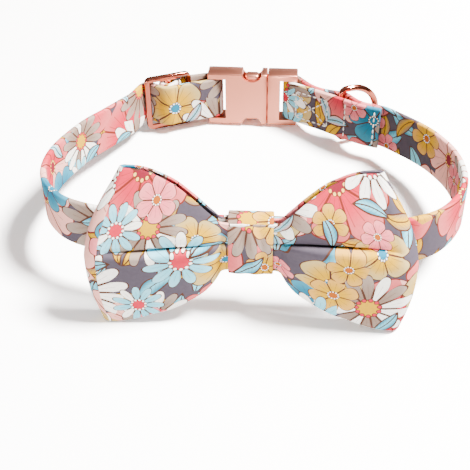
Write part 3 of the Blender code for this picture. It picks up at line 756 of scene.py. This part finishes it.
# along from the left end to the right, and the crease's height as a share of half the bow's
bow_crease = [
    (-1.00, 0.06), (-0.70, 0.08), (-0.50, 0.10), (-0.27, 0.12), (-0.19, 0.10), (0.00, 0.09),
    (0.19, 0.15), (0.27, 0.22), (0.50, 0.21), (0.70, 0.19), (1.00, 0.17),
]
bow_front_steps = 120
bow_end_steps = 12
bow_rows = 96
# The crease's depths in metres, and how far up and down they reach, as shares of half the
# bow's height
crease_hollow, hollow_reach = 0.0024, 0.20
crease_depth, slot_up, slot_down = 0.0036, 0.034, 0.036
crease_lip, lip_down, lip_reach = 0.0012, 0.09, 0.075
crease_lap, lap_down, lap_reach, tuck_reach = 0.0016, 0.072, 0.040, 0.03
gather_height = 0.00055
sag_depth = 0.0006
bow_columns = 2 * (bow_front_steps + bow_end_steps)


def smooth_table(table, key, column):
    """A column of a table at key, by a smooth curve through its rows."""
    rows = [table[0]] + table + [table[-1]]
    for before, low, high, after in zip(rows, rows[1:], rows[2:], rows[3:]):
        if key <= high[0]:
            break
    t = min(max((key - low[0]) / (high[0] - low[0]), 0.0), 1.0)
    step = high[0] - low[0]
    slopes = []
    for first, last in ((before, high), (low, after)):
        run = last[0] - first[0]
        slopes.append((last[column] - first[column]) / run * step if run else 0.0)
    return (low[column] * (2 * t ** 3 - 3 * t ** 2 + 1) + slopes[0] * (t ** 3 - 2 * t ** 2 + t)
            + high[column] * (3 * t ** 2 - 2 * t ** 3) + slopes[1] * (t ** 3 - t ** 2))


def bow_panel(spot):
    """Which panel a column lies on, how far along it, and how far round the end fold."""
    front, end = bow_front_steps, bow_end_steps
    if spot < front:
        return "front", -1 + 2 * spot / front, 0.0
    if spot < front + end:
        return "end", 1.0, (spot - front) / end * math.pi
    if spot < 2 * front + end:
        return "back", 1 - 2 * (spot - front - end) / front, math.pi
    return "end", -1.0, math.pi - (spot - 2 * front - end) / end * math.pi


def bow_rise(row, along):
    """Height of a row, as a share of the half height, closer together at the crease."""
    share = 2 * row / bow_rows - 1
    crease = smooth_table(bow_crease, along, 1)
    return crease + math.copysign(abs(share) ** 1.5, share) * (1 - crease if share > 0 else 1 + crease)


def hump(away, reach):
    """One at a line, falling off smoothly on both sides of it."""
    return math.exp(-(away / reach) ** 2)


def bow_point(column, row):
    panel, along, bend = bow_panel(column)
    out = abs(along)
    rise = bow_rise(row, along)
    right = 1 if along > 0 else 0     # so that the two wings aren't alike
    swell = smooth_table(bow_swell, out, 1)
    settle = smooth_table(bow_swell, out, 2)
    height = abs(smooth_table(bow_outline, out, 1 if rise > 0 else 2)) * bow_height / 2 * rise
    lean_here = settle * (bow_lean if rise > 0 else bow_lower_lean)
    mouth = 1.0 - (bow_top_pinch if rise > 0 else bow_pinch) * rise ** 2
    depth = waist_depth + (bow_depth * mouth - waist_depth) * swell
    waist_back = -(strap_thickness / 2 + clearance + bow_cloth / 2)
    wing_back = waist_back - strap_width / 2 * math.tan(bow_lean) - clearance
    back = waist_back + (wing_back - waist_back) * settle - bow_depth * (1 - mouth) * 0.5 * swell
    reach = smooth_table(bow_end, height / (bow_height / 2), 1) * bow_width / 2 - bow_depth * mouth / 2
    x = along * reach
    tuck = 0.0
    # Gathers fan out from the knot and die away towards the ends
    fan = math.sin(rise * (9.5 + right) + 1.3 + right * 2.1 + 0.8 * math.sin(rise * 4.0))
    gather = fan * gather_height * swell * max(0.0, 1 - out / 0.78) * (1 - abs(rise) ** 6)
    sag = sag_depth * math.sin(out * 5.2 + rise * 2.3 + right) * swell
    if panel == "front":
        y = back - depth
        fade = max(0.0, 1.0 - out ** 4) * min(1.0, 0.30 + 0.6 * swell)
        off_crease = rise - smooth_table(bow_crease, along, 1)
        if off_crease > 0:
            fold = crease_hollow * math.exp(-(off_crease / hollow_reach) ** 1.6)
            fold += crease_depth * hump(off_crease, slot_up)
        else:
            fold = (crease_hollow + crease_depth) * hump(off_crease, slot_down)
            fold -= crease_lip * hump(off_crease + lip_down, lip_reach)
        # The upper half tucks down behind the lip of the lower half
        tuck = hump(off_crease + lap_down, lap_reach) - hump(off_crease, tuck_reach)
        tuck = fade * crease_lap * tuck
        y += fade * fold + gather + sag
    elif panel == "back":
        y = back + gather * 0.6
    else:
        # A pressed edge, then a side that swells out and turns round to the back panel
        turn_back = bend / math.pi
        y = back - depth + depth * turn_back
        x += math.copysign((4 * turn_back * (1 - turn_back)) ** 0.85 * depth / 2, along)
        y += sag * (1 + math.cos(bend)) / 2
    y += height * math.tan(lean_here)
    return bow_place @ Vector((x, y, height + tuck))


def bow_cloth_spot(column, row):
    """The spot on the cloth: along the loop, and up it before it was gathered."""
    panel, along, bend = bow_panel(column)
    arc = bow_depth / 2 * math.pi
    width = bow_width - bow_depth
    if panel == "front":
        travel = (along + 1) / 2 * width
    elif panel == "end" and along > 0:
        travel = width + bend / math.pi * arc
    elif panel == "back":
        travel = width + arc + (1 - along) / 2 * width
    else:
        travel = 2 * width + arc + (1 - bend / math.pi) * arc
    out = abs(along)
    rise = bow_rise(row, along)
    height = abs(smooth_table(bow_outline, out, 1 if rise > 0 else 2)) * bow_height / 2 * rise
    flat = bow_height / 2 * rise
    return (travel, height * 0.6 + flat * 0.4)


def thicken(piece, cloth, hem_width, hem_steps):
    """Gives a cloth surface its thickness and rounds its hems."""
    wall = piece.modifiers.new("cloth", "SOLIDIFY")
    wall.thickness = cloth
    wall.offset = 0.0
    wall.use_even_offset = True
    hem = piece.modifiers.new("hem", "BEVEL")
    hem.width = hem_width
    hem.segments = hem_steps
    hem.limit_method = "ANGLE"
    hem.angle_limit = math.radians(60)
    apply_all(piece)
    bpy.ops.object.shade_smooth_by_angle(angle=math.radians(60))


bow = wrap_grid("bow_printed_cotton", bow_columns, bow_rows, bow_point, bow_cloth_spot, join_columns=True)
face_outwards(bow)
thicken(bow, bow_cloth, 0.0004, 2)
bow.data.materials.append(printed_cotton("bow_printed_cotton", (0.083, 0.057)))
finish_piece(bow, "collar", "bow_cloth", "bow")

# Knot: a band of the same cotton, folded and sewn into a sleeve that holds the bow's
# waist against the strap.
knot_width = 0.0165
knot_cloth = 0.0013
knot_corner = 0.0034
knot_slope = 0.0030
knot_columns = 96
knot_rows = 28
knot_fold = 0.00035
knot_tall = 0.0105 + clearance + knot_cloth / 2
knot_back = strap_thickness / 2 + clearance + knot_cloth / 2
knot_front = -(strap_thickness / 2 + clearance + bow_cloth) - waist_depth - gather_height - knot_cloth / 2


def rounded_outline(share, half_y, half_z, corner):
    """A point at a share of the way round a rounded rectangle, from its back, going up."""
    straight_y = 2 * (half_y - corner)
    straight_z = 2 * (half_z - corner)
    arc = corner * math.pi / 2
    runs = [straight_z / 2, arc, straight_y, arc, straight_z, arc, straight_y, arc, straight_z / 2]
    left = share * sum(runs)
    y, z, heading = half_y, 0.0, math.pi / 2
    for i, run in enumerate(runs):
        go = min(left, run)
        if i % 2:
            turn = go / corner
            y += corner * (math.sin(heading + turn) - math.sin(heading))
            z -= corner * (math.cos(heading + turn) - math.cos(heading))
            heading += turn
        else:
            y += go * math.cos(heading)
            z += go * math.sin(heading)
        left -= go
        if left <= 0:
            break
    return y, z, sum(runs)


def knot_point(column, row):
    half_y = (knot_back - knot_front) / 2
    share = 2 * row / knot_rows - 1
    y, z, _ = rounded_outline(column / knot_columns, half_y, knot_tall, knot_corner)
    if z > 0:
        # The upper front slopes back to the strap's edge
        y += knot_slope * (z / knot_tall) ** 2 * (0.5 - y / half_y / 2)
    if y < 0:
        fold = knot_fold * math.sin(share * 7.5 + 0.7 + z * 90)
        y *= 1 + 0.12 * (1 - share ** 2)
        y -= fold * (1 - share ** 2) * min(1.0, -y / half_y)
    pinch = 1 - 0.035 * (1 - min(1.0, abs(z) / knot_tall)) ** 2
    x = share * knot_width / 2 * pinch
    return bow_place @ Vector((x, (knot_back + knot_front) / 2 + y, z))


def knot_cloth_spot(column, row):
    half_y = (knot_back - knot_front) / 2
    round_trip = rounded_outline(1.0, half_y, knot_tall, knot_corner)[2]
    return ((row / knot_rows - 0.5) * knot_width, column / knot_columns * round_trip)


knot = wrap_grid("knot_band_cotton", knot_columns, knot_rows, knot_point, knot_cloth_spot, join_columns=True)
face_outwards(knot)
thicken(knot, knot_cloth, 0.0005, 3)
knot.data.materials.append(printed_cotton("knot_printed_cotton", (0.203, 0.317)))
finish_piece(knot, "collar", "knot_cloth", "knot_band")

# Table, light and camera: a white table, a lamp above at the right, a weak low lamp in
# front and dim walls.
bpy.ops.object.select_all(action="DESELECT")
bpy.ops.mesh.primitive_plane_add(size=6.0, location=(0.0, 0.0, 0.0))
table = bpy.context.object
table.name = "table"
table_white = bpy.data.materials.new("table_white")
table_white.use_nodes = True
# The eye sees the table as brightly as an overexposed white sheet, the collar does not
paper = table_white.node_tree
paper.nodes.remove(paper.nodes["Principled BSDF"])
rays = paper.nodes.new("ShaderNodeLightPath")
sheet = paper.nodes.new("ShaderNodeBsdfDiffuse")
sheet.inputs["Color"].default_value = (0.40, 0.39, 0.38, 1.0)
shown_sheet = paper.nodes.new("ShaderNodeBsdfDiffuse")
shown_sheet.inputs["Color"].default_value = (2.0, 2.0, 2.0, 1.0)
either = paper.nodes.new("ShaderNodeMixShader")
paper.links.new(rays.outputs["Is Camera Ray"], either.inputs[0])
paper.links.new(sheet.outputs[0], either.inputs[1])
paper.links.new(shown_sheet.outputs[0], either.inputs[2])
paper.links.new(either.outputs[0], paper.nodes["Material Output"].inputs["Surface"])
table.data.materials.append(table_white)

world = bpy.data.worlds.new("studio")
bpy.context.scene.world = world
world.use_nodes = True
studio = world.node_tree
backdrop = studio.nodes["Background"]
backdrop.inputs["Strength"].default_value = 1.0
outwards = studio.nodes.new("ShaderNodeTexCoord")
heights = studio.nodes.new("ShaderNodeSeparateXYZ")
studio.links.new(outwards.outputs["Generated"], heights.inputs[0])
walls = studio.nodes.new("ShaderNodeValToRGB")
walls.color_ramp.elements[0].position = 0.30
walls.color_ramp.elements[0].color = (0.14, 0.122, 0.112, 1.0)
walls.color_ramp.elements[1].position = 0.85
walls.color_ramp.elements[1].color = (0.32, 0.312, 0.305, 1.0)
studio.links.new(heights.outputs[2], walls.inputs[0])
studio.links.new(walls.outputs[0], backdrop.inputs["Color"])


def add_lamp(name, place, size, power, colour):
    data = bpy.data.lights.new(name, "AREA")
    data.shape = "DISK"
    data.size = size
    data.energy = power
    data.color = colour
    lamp = bpy.data.objects.new(name, data)
    bpy.context.scene.collection.objects.link(lamp)
    lamp.location = place
    lamp.rotation_euler = (-Vector(place)).to_track_quat("-Z", "Y").to_euler()
    return lamp


add_lamp("key_lamp", (0.55, 0.03, 0.93), 0.30, 94.0, (1.0, 0.97, 0.94))
add_lamp("front_lamp", (-0.20, -1.15, 0.13), 0.50, 30.0, (1.0, 0.99, 0.98))

camera_distance = 0.351
camera_down = math.radians(42.4)
camera_aim = -0.0054
camera_data = bpy.data.cameras.new("camera")
camera_data.lens = 61.8
camera_data.sensor_width = 36.0
camera_data.shift_x = -18 / 470
camera_data.shift_y = -22 / 470
camera_data.clip_start = 0.01
camera = bpy.data.objects.new("camera", camera_data)
bpy.context.scene.collection.objects.link(camera)
camera_back = camera_distance * math.cos(camera_down)
camera.location = (0.0, camera_aim - camera_back, camera_distance * math.sin(camera_down))
camera.rotation_euler = (math.pi / 2 - camera_down, 0.0, 0.0)
bpy.context.scene.camera = camera
